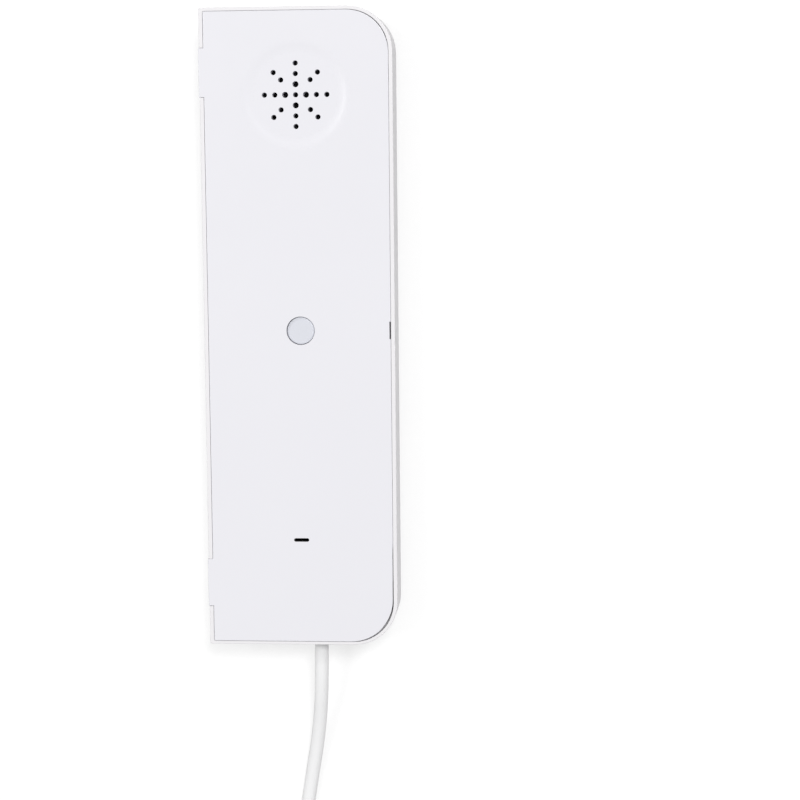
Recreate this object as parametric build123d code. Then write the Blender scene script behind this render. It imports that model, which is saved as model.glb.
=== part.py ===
from build123d import *

import os
from math import cos, dist, hypot, pi, radians, sin, sqrt, tan

# Handset of a video intercom, lying on its back: +X is the side with the two
# rounded corners, +Y the ear end, +Z the face with the sound holes.
# The origin is the middle of the handset's footprint. Millimetres.

# Housing
body_length = 185.3  # ear end to mouth end
body_width = 55.9
body_depth = 20.0  # back to face
corner_radius = 13.0  # the two rounded corners of the outline
back_round = 7.0  # sides into back
side_edge_round = 0.5  # edges of the flat side
wall = 2.0
rim = 1.15  # what shows of the shell beside the face
ear_rim = 0.95  # the same at the ear end
mouth_rim = 0.85
rim_edge_round = 0.2
plate_thickness = 2.2
plate_corner = 0.5  # the face plate's two square corners
plate_edge_round = 0.2
seam_gap = 0.08
ear_corner_play = 0.35  # how much rounder than its seat the plate's corner is
mouth_corner_play = 0.8

# Side lugs of the face plate, which lap over the flat side
lug_length = 14.0
lug_from_end = 11.4
lug_depth = 6.0
lug_proud = 0.25
lug_corner = 1.2

# Snap hooks under the face plate
hook_width = 7.0
hook_thickness = 1.2
hook_depth = 6.4  # below the plate
hook_catch = 4.2  # below the plate
hook_barb = 0.9
hook_barb_height = 0.6
hook_from_wall = 0.3
hook_root = 0.5  # sunk into the plate
hook_slack = 0.1
side_hook_pitch = 50.0  # three along the rounded side
end_hook_x = -9.0  # one at each end

# Opening notch at the plate's edge
pry_length = 5.1
pry_width = 0.4
pry_depth = 3.6

# Earpiece
ear_from_end = 24.95
dish_diameter = 31.5
dish_floor_diameter = 24.4
dish_depth = 0.25
pad_thickness = 1.2  # extra plate under the dish
sound_hole_pitch = 3.0  # ring to ring
small_sound_hole = 1.5
large_sound_hole = 1.75
cloth_thickness = 0.3
cloth_gap = 0.2  # to the gasket
gasket_diameter = 28.0
gasket_width = 2.3
gasket_thickness = 1.0
diaphragm_diameter = 25.6
diaphragm_thickness = 0.3
diaphragm_dome = 0.4  # middle above the edge
voice_coil_height = 2.0
sheet_metal = 0.6
basket_diameter = 23.6
basket_depth = 3.2
magnet_diameter = 15.0
magnet_depth = 4.0
pot_gap = 0.8
pot_wall = 1.5
ear_wall = 1.2  # locating wall round the earpiece
ear_wall_gap = 0.1
ear_wall_depth = 2.6  # below the pad
clamp_thickness = 1.6
clamp_width = 7.0
clamp_screw_offset = 18.8
terminal_width = 9.0
terminal_length = 1.4
terminal_pitch = 4.0

# Microphone
microphone_from_end = 31.3
slot_length = 4.2
slot_width = 0.85
slot_web = 0.8  # plate left at the slot, over the felt
felt_diameter = 6.4
felt_gap = 0.1  # to its pocket in the plate
capsule_diameter = 9.7
capsule_depth = 4.5
boot_wall = 1.35
boot_front = 1.0
boot_depth = 6.0
boot_port = 4.6
boot_fit = 0.02
boot_holder_wall = 1.2
boot_holder_depth = 4.6
microphone_pin_pitch = 2.54

# Push button and its switch
button_x = 0.5
button_y = 0.0
cap_diameter = 8.0
cap_gap = 0.12  # all round the cap
cap_recess = 0.4  # below the face
cap_top = 1.2
cap_edge_round = 0.45
cap_skirt = 1.0
cap_flange = 1.0  # proud of the skirt
cap_flange_thickness = 0.8
collar_wall = 1.4
collar_depth = 1.7  # below the plate
collar_clearance = 0.05  # flange to collar, button up
button_travel = 1.2
hub_wall = 0.5
stem_diameter = 3.0
stem_fit = 0.02
stem_in_hub = 2.4
switch_width = 8.0
switch_height = 5.0
stem_running_gap = 0.05
stem_in_switch = 1.6
switch_bore_spare = 0.4  # under the pressed stem
spring_wire = 0.35
spring_diameter = 4.9  # middle of the wire
spring_half_turns = 8

# Circuit board
board_width = 26.0
board_length = 34.0
board_thickness = 1.6
board_post = 3.0  # board above the shell's floor
board_post_diameter = 5.2
board_screw_dx = 10.0
board_screw_dy = 11.0
board_dy = -1.5  # board to button
header_length = 6.0
header_height = 4.6
header_pin_pitch = 2.0
header_side = 1.2  # past the outer pins
header_from_edge = 0.4
microphone_header_dx = -4.8
cord_header_dx = 2.8

# Holding magnets under the face plate
holder_length = 20.0
holder_width = 10.0
holder_thickness = 3.0
holder_rib = 1.0
holder_rib_depth = 2.4
holder_gap = 0.1
upper_holder_y = 34.0
lower_holder_y = -36.0

# Screws
screw_shank = 2.2
screw_head = 4.0
screw_head_height = 1.4
screw_slot_width = 0.6
screw_slot_length = 2.4
screw_slot_depth = 0.7
screw_fit = 0.02
screw_hole_gap = 0.15
screw_length = 6.0  # under the head
boss_wall = 1.5

# Cord, its bush and the wires inside
cord_diameter = 4.1
cord_x = 4.65
cord_z = 13.0
cord_gap = 0.15  # all round the cord in its hole
bush_flange_diameter = 7.6
bush_flange_thickness = 2.0
bush_neck_diameter = 5.4
bush_body_diameter = 7.0
bush_body_length = 5.0
bush_gap = 0.1
cradle_thickness = 2.0
cradle_width = 14.0
cradle_above = 3.2  # over the cord's middle line
conductor_diameter = 1.1
conductor_spread = 0.8  # from the cord's middle line
lead_diameter = 0.9

# Free stretch of the cord, from its bush to its coil. The coil takes over
# where the last point lies.
cord_route = [
    (4.65, -104.0, 13.0),
    (2.95, -121.0, 5.9),
    (-0.25, -138.5, 2.1),
    (-3.0, -155.5, 2.1),
    (-12.0, -172.5, 2.75),
    (-12.0, -184.5, 2.75),
]
coil_outer_radius = 28.7
coil_step = 4.6  # from one turn to the next, and from layer to layer
half_turns_in = 6
half_turns_out = 5

# Free stretch from the coil to the plug, after the coil's end
tail_route = [
    (-12.0, -202.5, 7.35),
    (-12.6, -216.5, 3.3),
    (-12.6, -227.5, 3.3),
]
tie_width = 6.0
tie_thickness = 0.6
tie_gap = 0.1
tie_corner = 2.0

# Four-way modular plug
plug_width = 7.65
plug_height = 6.6
plug_length = 11.7
plug_edge_round = 0.3
plug_socket = 4.5
plug_socket_depth = 5.0
contact_pitch = 1.27
contact_thickness = 0.4
contact_height = 2.2
contact_length = 3.4
contact_slot_gap = 0.1
latch_width = 3.2
latch_thumb_width = 2.4
latch_length = 11.0
latch_shoulder = 3.6  # end of the wide part, from the hinge
latch_thickness = 1.0
latch_root_radius = 0.7
latch_angle = 14.0  # degrees above the plug at rest
latch_hinge_above = 0.65  # hinge axis over the plug
latch_hinge_from_nose = 1.7
latch_gap = 0.06

# Places that follow from the sizes above
face = body_depth
plate_under = face - plate_thickness
right = body_width / 2
flat_side = -body_width / 2 + lug_proud
ear_end = body_length / 2
mouth_end = -body_length / 2
ear_y = ear_end - ear_from_end
microphone_y = mouth_end + microphone_from_end

pad_under = plate_under - pad_thickness
pad_diameter = gasket_diameter + 2 * (ear_wall_gap + ear_wall)
gasket_under = pad_under - gasket_thickness
basket_top = gasket_under - diaphragm_thickness
basket_under = basket_top - basket_depth
pot_under = basket_under - magnet_depth - pot_wall
pot_inside = magnet_diameter + 2 * pot_gap
clamp_under = pot_under - clamp_thickness
terminal_y = ear_y - basket_diameter / 2 - terminal_length
terminal_z = (basket_under + basket_top - sheet_metal) / 2

boot_diameter = capsule_diameter + 2 * boot_wall
capsule_under = plate_under - boot_front - capsule_depth

board_under = wall + board_post
board_top = board_under + board_thickness
board_x = button_x
board_y = button_y + board_dy
header_pin_z = board_top + header_height / 2
ear_header_end = board_y + board_length / 2 - header_from_edge
mouth_header_end = board_y - board_length / 2 + header_from_edge

switch_top = board_top + switch_height
well_diameter = cap_diameter + 2 * cap_gap
cap_face = face - cap_recess
cap_ceiling = cap_face - cap_top
flange_top = plate_under - collar_depth - collar_clearance
cap_under = flange_top - cap_flange_thickness
stem_bottom = switch_top - stem_in_switch

cord_hole = cord_diameter + 2 * cord_gap
bush_start = mouth_end + wall + bush_gap
neck_start = bush_start + bush_flange_thickness
bush_body_start = neck_start + cradle_thickness + 2 * bush_gap
bush_end = bush_body_start + bush_body_length

coil_start = Vector(*cord_route[-1])
coil_x = coil_start.X + coil_outer_radius
coil_y = coil_start.Y - cord_diameter
coil_top = coil_start.Z + coil_step

plug_x = tail_route[-1][0]
plug_back = tail_route[-1][1] + plug_socket_depth
plug_nose = plug_back - plug_length
hinge_y = plug_nose + latch_hinge_from_nose
hinge_z = plug_height + latch_hinge_above

# Snap hooks: place on the wall's inner face, and the way outwards in degrees
hook_places = [(right - wall, i * side_hook_pitch, 0) for i in (-1, 0, 1)]
hook_places.append((end_hook_x, ear_end - wall, 90))
hook_places.append((end_hook_x, mouth_end + wall, -90))
lug_middle = ear_end - lug_from_end - lug_length / 2
lug_places = [lug_middle, -lug_middle]


def block(x0, x1, y0, y1, z0, z1):
    """A box between two corners."""
    place = Pos((x0 + x1) / 2, (y0 + y1) / 2, (z0 + z1) / 2)
    return place * Box(abs(x1 - x0), abs(y1 - y0), abs(z1 - z0))


def rod(x, y, z0, z1, diameter):
    """An upright cylinder from z0 to z1."""
    return Pos(x, y, (z0 + z1) / 2) * Cylinder(diameter / 2, abs(z1 - z0))


def ring(x, y, z0, z1, outer, inner):
    """An upright ring from z0 to z1."""
    return rod(x, y, z0, z1, outer) - rod(x, y, z0, z1, inner)


def turned(*profile):
    """A solid turned about the Z axis from a closed outline of (radius, height)."""
    return revolve(Plane.XZ * make_face(Polyline(*profile, close=True)), Axis.Z)


def along_cord(y0, y1, diameter):
    """A cylinder on the cord's middle line at its exit."""
    place = Pos(cord_x, (y0 + y1) / 2, cord_z) * Rot(90, 0, 0)
    return place * Cylinder(diameter / 2, abs(y1 - y0))


def outline(inset, ear_inset, mouth_inset, ear_play=0.0, mouth_play=0.0, square_corner=0.0):
    """The shell's outline drawn in: square at the flat side, round opposite."""
    middle = Pos((right + flat_side) / 2, (ear_end - ear_inset + mouth_end + mouth_inset) / 2)
    width = right - flat_side - 2 * inset
    sheet = middle * Rectangle(width, ear_end - ear_inset - mouth_end - mouth_inset)
    for end, play in ((-1, ear_play), (0, mouth_play)):
        corner = sheet.vertices().group_by(Axis.Y)[end].sort_by(Axis.X)[-1]
        sheet = fillet(corner, corner_radius - inset + play)
    if square_corner:
        sheet = fillet(sheet.vertices().group_by(Axis.X)[0], square_corner)
    return sheet


def housing(inset, top, back_radius):
    """The shell's outside or its cavity, with the back rounded on three sides."""
    form = extrude(Pos(0, 0, inset) * outline(inset, inset, inset), top - inset)
    back = form.faces().sort_by(Axis.Z)[0]
    return fillet(back.edges().sort_by(Axis.X)[1:], back_radius)


def board_screw_places():
    """Where the four screws of the circuit board stand."""
    return [
        (board_x + sx * board_screw_dx, board_y + sy * board_screw_dy)
        for sx in (-1, 1)
        for sy in (-1, 1)
    ]


def hook_pocket():
    """Space for a snap hook's barb in the wall, in the hook's own frame."""
    half = hook_width / 2 + seam_gap
    reach = hook_barb - hook_from_wall + hook_slack
    return block(-1, reach, -half, half, -hook_depth - hook_slack, -hook_catch + hook_slack)


def rear_shell():
    """The tray that everything is built into."""
    shell = housing(0, face, back_round)
    side = shell.faces().sort_by(Axis.X)[0]
    shell = fillet(side.edges().sort_by(Axis.Z)[:-1], side_edge_round)
    shell = fillet(shell.faces().sort_by(Axis.Z)[-1].edges(), rim_edge_round)
    shell -= housing(wall, plate_under, back_round - wall)
    seat = outline(rim, ear_rim, mouth_rim, square_corner=plate_corner + seam_gap)
    shell -= extrude(Pos(0, 0, plate_under) * seat, plate_thickness)
    for middle in lug_places:
        y0 = middle - lug_length / 2 - seam_gap
        y1 = middle + lug_length / 2 + seam_gap
        shell -= block(flat_side - 1, flat_side + wall, y0, y1, face - lug_depth - seam_gap, face)
    for x, y, turn in hook_places:
        shell -= Pos(x, y, plate_under) * Rot(0, 0, turn) * hook_pocket()
    shell -= pry_notch()
    shell -= along_cord(mouth_end - 1, mouth_end + wall, cord_hole)
    shell += cord_cradle()
    for x, y in board_screw_places():
        shell += rod(x, y, wall / 2, board_under, board_post_diameter)
        shell -= rod(x, y, board_top - screw_length, board_under, screw_shank + 2 * screw_fit)
    return shell


def cord_cradle():
    """Slotted rib on the shell's floor that holds the bush by its neck."""
    y0 = neck_start + bush_gap
    y1 = y0 + cradle_thickness
    rib = block(cord_x - cradle_width / 2, cord_x + cradle_width / 2, y0, y1, wall / 2, cord_z + cradle_above)
    slot = bush_neck_diameter + 2 * bush_gap
    rib -= along_cord(y0 - 1, y1 + 1, slot)
    return rib - block(cord_x - slot / 2, cord_x + slot / 2, y0, y1, cord_z, face)


def pry_notch():
    """Notch at the rounded side where a blade lifts the plate."""
    edge = right - rim
    notch = block(edge - seam_gap - pry_width, edge, -pry_length / 2, pry_length / 2, plate_under, face)
    return notch + block(right - wall, edge, -pry_length / 2, pry_length / 2, face - pry_depth, plate_under)


def hook():
    """A snap hook in its own frame: outwards is +X and the plate's underside is z = 0."""
    outer = -hook_from_wall
    tip = outer + hook_barb
    inner = outer - hook_thickness
    side = make_face(
        Polyline(
            (inner, hook_root),
            (outer, hook_root),
            (outer, -hook_catch),
            (tip, -hook_catch),
            (tip, -hook_catch - hook_barb_height),
            (outer, -hook_depth),
            (inner, -hook_depth),
            close=True,
        )
    )
    return extrude(Plane.XZ * side, hook_width / 2, both=True)


def side_lug(middle):
    """Lug of the face plate that laps over the flat side of the shell."""
    y0 = middle - lug_length / 2
    y1 = middle + lug_length / 2
    outer = flat_side - lug_proud
    leg = block(outer, flat_side + wall, y0, y1, face - lug_depth, face)
    leg = fillet(leg.edges().filter_by(Axis.X).group_by(Axis.Z)[0], lug_corner)
    return leg + block(outer, flat_side + 2 * wall, y0, y1, plate_under, face)


def sound_holes():
    """Places and diameters of the sound holes: rings of 1, 4, 8 and 8."""
    holes = [(0.0, 0.0, small_sound_hole)]
    for step, count, hole in ((1, 4, large_sound_hole), (2, 8, small_sound_hole), (3, 8, small_sound_hole)):
        for i in range(count):
            angle = 2 * pi * i / count
            radius = step * sound_hole_pitch
            holes.append((radius * cos(angle), radius * sin(angle), hole))
    return holes


def face_plate():
    """The plate with the sound holes, its lugs, hooks and the seats behind it."""
    insets = (rim + seam_gap, ear_rim + seam_gap, mouth_rim + seam_gap)
    sheet = outline(*insets, ear_corner_play, mouth_corner_play, plate_corner)
    plate = extrude(Pos(0, 0, plate_under) * sheet, plate_thickness)
    for middle in lug_places:
        plate += side_lug(middle)
    plate = fillet(plate.faces().sort_by(Axis.Z)[-1].edges(), plate_edge_round)
    for x, y, turn in hook_places:
        plate += Pos(x, y, plate_under) * Rot(0, 0, turn) * hook()
    plate -= pry_notch()
    plate = earpiece_seat(plate)
    plate = microphone_seat(plate)
    plate += ring(button_x, button_y, plate_under - collar_depth, face - cap_top,
                  well_diameter + 2 * collar_wall, well_diameter)
    plate -= rod(button_x, button_y, plate_under - 1, face + 1, well_diameter)
    for y in (upper_holder_y, lower_holder_y):
        plate += magnet_pocket(y)
    neck_y = neck_start + 2 * bush_gap
    half = bush_neck_diameter / 2
    plate += block(cord_x - half, cord_x + half, neck_y, neck_y + cradle_thickness - 2 * bush_gap,
                   cord_z + half + bush_gap, plate_under)
    return plate


def dish():
    """What the shallow dish takes away: a flat floor with a softly curved shoulder."""
    floor = dish_floor_diameter / 2
    rim_radius = dish_diameter / 2
    middle = ((floor + rim_radius) / 2, -dish_depth / 2)
    shoulder = TangentArc((floor, -dish_depth), middle, tangent=(1, 0))
    lip = TangentArc(middle, (rim_radius, 0), tangent=shoulder % 1)
    sides = Polyline((rim_radius, 0), (rim_radius, 1), (0, 1), (0, -dish_depth), (floor, -dish_depth))
    return revolve(Plane.XZ * make_face(shoulder + lip + sides), Axis.Z)


def earpiece_seat(plate):
    """The dish, its sound holes and the seat and bosses behind them."""
    plate += rod(0, ear_y, pad_under, plate_under, pad_diameter)
    inner = gasket_diameter + 2 * ear_wall_gap
    plate += ring(0, ear_y, pad_under - ear_wall_depth, pad_under, pad_diameter, inner)
    plate -= Pos(0, ear_y, face) * dish()
    for x, y, hole in sound_holes():
        plate -= rod(x, ear_y + y, pad_under - 1, face, hole)
    for x in (-clamp_screw_offset, clamp_screw_offset):
        boss = rod(x, ear_y, pot_under, plate_under + hook_root, screw_shank + 2 * boss_wall)
        plate += boss - rod(x, ear_y, pot_under - 1, clamp_under + screw_length, screw_shank + 2 * screw_fit)
    return plate


def microphone_seat(plate):
    """The slot in front of the microphone, its felt's pocket and the holder behind."""
    inner = boot_diameter + 2 * boot_fit
    outer = inner + 2 * boot_holder_wall
    plate += ring(0, microphone_y, plate_under - boot_holder_depth, plate_under, outer, inner)
    plate -= rod(0, microphone_y, plate_under - 1, face - slot_web, felt_diameter + 2 * felt_gap)
    slot = SlotOverall(slot_length, slot_width)
    return plate - extrude(Pos(0, microphone_y, plate_under) * slot, plate_thickness + 1)


def magnet_pocket(y):
    """Four-sided rib round a holding magnet."""
    x1 = holder_length / 2 + holder_gap
    y1 = holder_width / 2 + holder_gap
    z0 = plate_under - holder_rib_depth
    rib = block(-x1 - holder_rib, x1 + holder_rib, y - y1 - holder_rib, y + y1 + holder_rib, z0, plate_under)
    return rib - block(-x1, x1, y - y1, y + y1, z0, plate_under)


def holding_magnet(y):
    """Flat magnet that holds the handset on its wall unit."""
    magnet = Pos(0, y, plate_under - holder_thickness / 2) * Box(holder_length, holder_width, holder_thickness)
    return chamfer(magnet.edges().filter_by(Axis.Z), holder_rib / 2)


def earpiece_cloth():
    """Thin acoustic cloth behind the sound holes."""
    width = gasket_diameter - 2 * gasket_width - 2 * cloth_gap
    return rod(0, ear_y, pad_under - cloth_thickness, pad_under, width)


def earpiece_gasket():
    """Foam ring between the plate and the earpiece."""
    return ring(0, ear_y, gasket_under, pad_under, gasket_diameter, gasket_diameter - 2 * gasket_width)


def earpiece_diaphragm():
    """Domed film with its voice coil, which reaches down into the pot's gap."""
    t = diaphragm_thickness
    edge = diaphragm_diameter / 2
    coil_outer = pot_inside / 2 - pot_gap / 4
    coil_inner = coil_outer - pot_gap / 4
    low = basket_top - voice_coil_height
    film = turned(
        (0, gasket_under + diaphragm_dome - t),
        (coil_inner, basket_top - t),
        (coil_inner, low),
        (coil_outer, low),
        (coil_outer, basket_top - t),
        (edge - gasket_width, basket_top),
        (edge, basket_top),
        (edge, gasket_under),
        (edge - gasket_width, gasket_under),
        (coil_outer, basket_top),
        (0, gasket_under + diaphragm_dome),
    )
    return Pos(0, ear_y, 0) * film


def earpiece_basket():
    """Pressed metal basket with its flange and the strip for the two wires."""
    flange = gasket_diameter / 2
    outer = basket_diameter / 2
    t = sheet_metal
    basket = turned(
        (outer - t, basket_top),
        (flange, basket_top),
        (flange, basket_top - t),
        (outer, basket_top - t),
        (outer, basket_under),
        (pot_inside / 2, basket_under),
        (pot_inside / 2, basket_under + t),
        (outer - t, basket_under + t),
    )
    basket = Pos(0, ear_y, 0) * basket
    half = terminal_width / 2
    strip = block(-half, half, terminal_y, ear_y - outer + t, basket_under, basket_top - t)
    return basket + (strip - rod(0, ear_y, basket_under, basket_top, basket_diameter - t))


def earpiece_pot():
    """Steel cup that carries the magnet and closes its gap."""
    inner = pot_inside / 2
    pot = turned(
        (0, pot_under),
        (inner + pot_wall, pot_under),
        (inner + pot_wall, basket_under),
        (inner, basket_under),
        (inner, pot_under + pot_wall),
        (0, pot_under + pot_wall),
    )
    return Pos(0, ear_y, 0) * pot


def earpiece_magnet():
    """Round magnet in the pot."""
    return rod(0, ear_y, pot_under + pot_wall, basket_under, magnet_diameter)


def earpiece_clamp():
    """Bar across the pot that holds the earpiece to its gasket."""
    bar = SlotCenterToCenter(2 * clamp_screw_offset, clamp_width)
    bar = extrude(Pos(0, ear_y, clamp_under) * bar, clamp_thickness)
    for x in (-clamp_screw_offset, clamp_screw_offset):
        bar -= rod(x, ear_y, clamp_under, pot_under, screw_shank + 2 * screw_hole_gap)
    return bar


def screw():
    """A cross-slotted screw, its head up and the seat of the head at z = 0."""
    form = rod(0, 0, -screw_length, 0, screw_shank) + rod(0, 0, 0, screw_head_height, screw_head)
    slot = Pos(0, 0, screw_head_height - screw_slot_depth / 2) * Box(
        screw_slot_length, screw_slot_width, screw_slot_depth
    )
    return form - slot - Rot(0, 0, 90) * slot


def microphone_boot():
    """Rubber boot with its sound port."""
    under = plate_under - boot_depth
    shoulder = plate_under - boot_front
    boot = rod(0, microphone_y, under, plate_under, boot_diameter)
    boot -= rod(0, microphone_y, under, shoulder, capsule_diameter + 2 * boot_fit)
    return boot - rod(0, microphone_y, shoulder, plate_under, boot_port)


def microphone_felt():
    """Disc of black felt between the slot and the boot's port."""
    return rod(0, microphone_y, plate_under, face - slot_web, felt_diameter)


def microphone_capsule():
    """Electret capsule."""
    capsule = rod(0, microphone_y, capsule_under, plate_under - boot_front, capsule_diameter)
    return fillet(capsule.edges().group_by(Axis.Z)[-1], boot_wall / 4)


def push_button():
    """Round cap with its stop flange and the hub for the stem."""
    outer = cap_diameter / 2
    cap = turned(
        (0, cap_ceiling),
        (outer - cap_skirt, cap_ceiling),
        (outer - cap_skirt, cap_under),
        (outer + cap_flange, cap_under),
        (outer + cap_flange, flange_top),
        (outer, flange_top),
        (outer, cap_face),
        (0, cap_face),
    )
    cap = fillet(cap.edges().group_by(Axis.Z)[-1], cap_edge_round)
    bore = stem_diameter + 2 * stem_fit
    hub = ring(0, 0, cap_ceiling - stem_in_hub, cap_ceiling, bore + 2 * hub_wall, bore)
    return Pos(button_x, button_y, 0) * (cap + hub)


def switch_stem():
    """Plunger between the cap and the switch."""
    stem = rod(button_x, button_y, stem_bottom, cap_ceiling, stem_diameter)
    return chamfer(stem.edges().group_by(Axis.Z)[0], stem_diameter / 10)


def switch_housing():
    """Switch on the circuit board, with the bore that the plunger runs in."""
    half = switch_width / 2
    body = block(button_x - half, button_x + half, button_y - half, button_y + half, board_top, switch_top)
    body = chamfer(body.edges().filter_by(Axis.Z), switch_width / 16)
    floor = stem_bottom - button_travel - switch_bore_spare
    return body - rod(button_x, button_y, floor, switch_top, stem_diameter + 2 * stem_running_gap)


def button_spring():
    """Return spring round the plunger, from the switch up to the cap."""
    low = switch_top + spring_wire / 2
    high = cap_ceiling - spring_wire / 2
    rise = (high - low) / spring_half_turns
    radius = spring_diameter / 2
    turns = []
    for i in range(spring_half_turns):
        way = 1 if i % 2 == 0 else -1
        z = low + i * rise
        middle = (0, way * hypot(radius, rise / 2), z + rise / 2)
        turns.append(ThreePointArc((way * radius, 0, z), middle, (-way * radius, 0, z + rise)))
    return Pos(button_x, button_y, 0) * swept(Wire([turn.edge() for turn in turns]), spring_wire)


def circuit_board():
    """The board, bare but for its outline and screw holes."""
    middle = Pos(board_x, board_y, board_under + board_thickness / 2)
    board = middle * Box(board_width, board_length, board_thickness)
    board = fillet(board.edges().filter_by(Axis.Z), board_thickness / 2)
    for x, y in board_screw_places():
        board -= rod(x, y, board_under, board_top, screw_shank + 2 * screw_hole_gap)
    return board


def pin_places(x, count):
    """Where the pins of a header stand along X."""
    return [x + (i - (count - 1) / 2) * header_pin_pitch for i in range(count)]


def header(x, end, count):
    """Wire header on the board, its wires entering at the end nearest the board's edge."""
    pins = pin_places(x, count)
    inward = -header_length if end > board_y else header_length
    x0 = pins[0] - header_side
    x1 = pins[-1] + header_side
    return block(x0, x1, end, end + inward, board_top, board_top + header_height)


def swept(path, diameter):
    """A round tube along a path."""
    section = Plane(origin=path @ 0, z_dir=path % 0) * Circle(diameter / 2)
    return sweep(section, path=path)


def bend_radii(points):
    """As large a bend at each point as its two runs allow."""
    radii = []
    for before, here, after in zip(points, points[1:], points[2:]):
        arrive = Vector(*here) - Vector(*before)
        leave = Vector(*after) - Vector(*here)
        half_turn = radians(arrive.get_angle(leave)) / 2
        radii.append(0.45 * min(arrive.length, leave.length) / tan(half_turn))
    return radii


def routed(points):
    """Straight runs joined by tangent arcs."""
    return FilletPolyline(*points, radius=bend_radii(points))


def cord():
    """The cord from its bush to its coil."""
    points = [(cord_x, bush_start, cord_z)] + cord_route
    path = routed(points)
    print("cord bends", [round(radius, 1) for radius in bend_radii(points)], "length", round(path.length, 1))
    tube = swept(path, cord_diameter)
    print("cord volume", round(tube.volume, 1), "of", round(path.length * pi * cord_diameter ** 2 / 4, 1))
    return tube


def coil_path():
    """Spiral in on the lower layer, up at its inmost half turn and out on the upper."""
    edges = [Line(coil_start, (coil_start.X, coil_y, coil_start.Z)).edge()]
    x = coil_start.X
    z = coil_start.Z
    radius = coil_outer_radius
    for i in range(half_turns_in + 1 + half_turns_out):
        way = 1 if i % 2 == 0 else -1
        rise = coil_step if i == half_turns_in else 0
        end = (x + way * 2 * radius, coil_y, z + rise)
        middle = (x + way * radius, coil_y - way * hypot(radius, rise / 2), z + rise / 2)
        edges.append(ThreePointArc((x, coil_y, z), middle, end).edge())
        x = end[0]
        z = end[2]
        radius += -coil_step / 2 if i < half_turns_in else coil_step / 2
    edges.append(Line((x, coil_y, z), (x, coil_y - cord_diameter, z)).edge())
    return Wire(edges)


def cord_coil():
    """The cord's put-away length, wound in two layers."""
    path = coil_path()
    count = int(path.length / (cord_diameter / 4))
    spots = [tuple(path @ (i / count)) for i in range(count + 1)]
    nearest = min(dist(spots[i], spots[j]) for i in range(count) for j in range(i + 16, count + 1))
    print("coil length", round(path.length, 1), "least gap", round(nearest - cord_diameter, 2))
    return swept(path, cord_diameter)


def cord_tail():
    """The cord from its coil to the plug."""
    points = [tuple(coil_path() @ 1)] + tail_route
    path = routed(points)
    print("tail bends", [round(radius, 1) for radius in bend_radii(points)], "length", round(path.length, 1))
    return swept(path, cord_diameter)


def coil_tie():
    """Band round the coil's turns on the side away from its ends."""
    half = cord_diameter / 2
    inmost = coil_outer_radius - half_turns_in * coil_step / 2 - half
    x0 = coil_x + sqrt(inmost ** 2 - tie_width ** 2 / 4) - tie_gap
    x1 = coil_x + coil_outer_radius + half + tie_gap
    z0 = coil_start.Z - half - tie_gap
    z1 = coil_top + half + tie_gap
    middle = Pos((x0 + x1) / 2, (z0 + z1) / 2)
    outer = middle * RectangleRounded(
        x1 - x0 + 2 * tie_thickness, z1 - z0 + 2 * tie_thickness, tie_corner + tie_thickness
    )
    band = outer - middle * RectangleRounded(x1 - x0, z1 - z0, tie_corner)
    return Pos(0, coil_y, 0) * extrude(Plane.XZ * band, tie_width / 2, both=True)


def cord_bush():
    """Moulded bush on the cord, held by its neck."""
    bush = along_cord(bush_start, neck_start, bush_flange_diameter)
    bush += along_cord(neck_start, bush_body_start, bush_neck_diameter)
    bush += along_cord(bush_body_start, bush_end, bush_body_diameter)
    return fillet(bush.edges().group_by(Axis.Y)[-1], bush_gap * 5)


def cord_conductors():
    """The four wires from the bush to the board."""
    spread = [(-1, 1), (-1, -1), (1, -1), (1, 1)]
    wires = []
    for (sx, sz), pin in zip(spread, pin_places(board_x + cord_header_dx, 4)):
        x = cord_x + sx * conductor_spread
        z = cord_z + sz * conductor_spread
        points = [
            (x, bush_end, z),
            (x, bush_end + bush_body_length, z),
            ((x + pin) / 2, (bush_end + mouth_header_end) / 2, (z + header_pin_z) / 2 - header_height),
            (pin, mouth_header_end - header_length, header_pin_z),
            (pin, mouth_header_end, header_pin_z),
        ]
        wires.append(swept(routed(points), conductor_diameter))
    return wires


def earpiece_leads():
    """The two wires from the board to the earpiece."""
    wires = []
    for side, pin in zip((-1, 1), pin_places(board_x, 2)):
        x = side * terminal_pitch / 2
        points = [
            (pin, ear_header_end, header_pin_z),
            (pin, ear_header_end + header_length, header_pin_z),
            (x, terminal_y - header_length, terminal_z),
            (x, terminal_y, terminal_z),
        ]
        wires.append(swept(routed(points), lead_diameter))
    return wires


def microphone_leads():
    """The two wires from the board to the microphone."""
    wires = []
    for side, pin in zip((-1, 1), pin_places(board_x + microphone_header_dx, 2)):
        x = side * microphone_pin_pitch / 2
        points = [
            (pin, mouth_header_end, header_pin_z),
            (pin, mouth_header_end - header_length, header_pin_z),
            (x, microphone_y, capsule_under - header_height / 2),
            (x, microphone_y, capsule_under),
        ]
        wires.append(swept(routed(points), lead_diameter))
    return wires


def contact_places():
    """Where the plug's contacts stand along X."""
    return [plug_x + (i - 1.5) * contact_pitch for i in range(4)]


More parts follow.
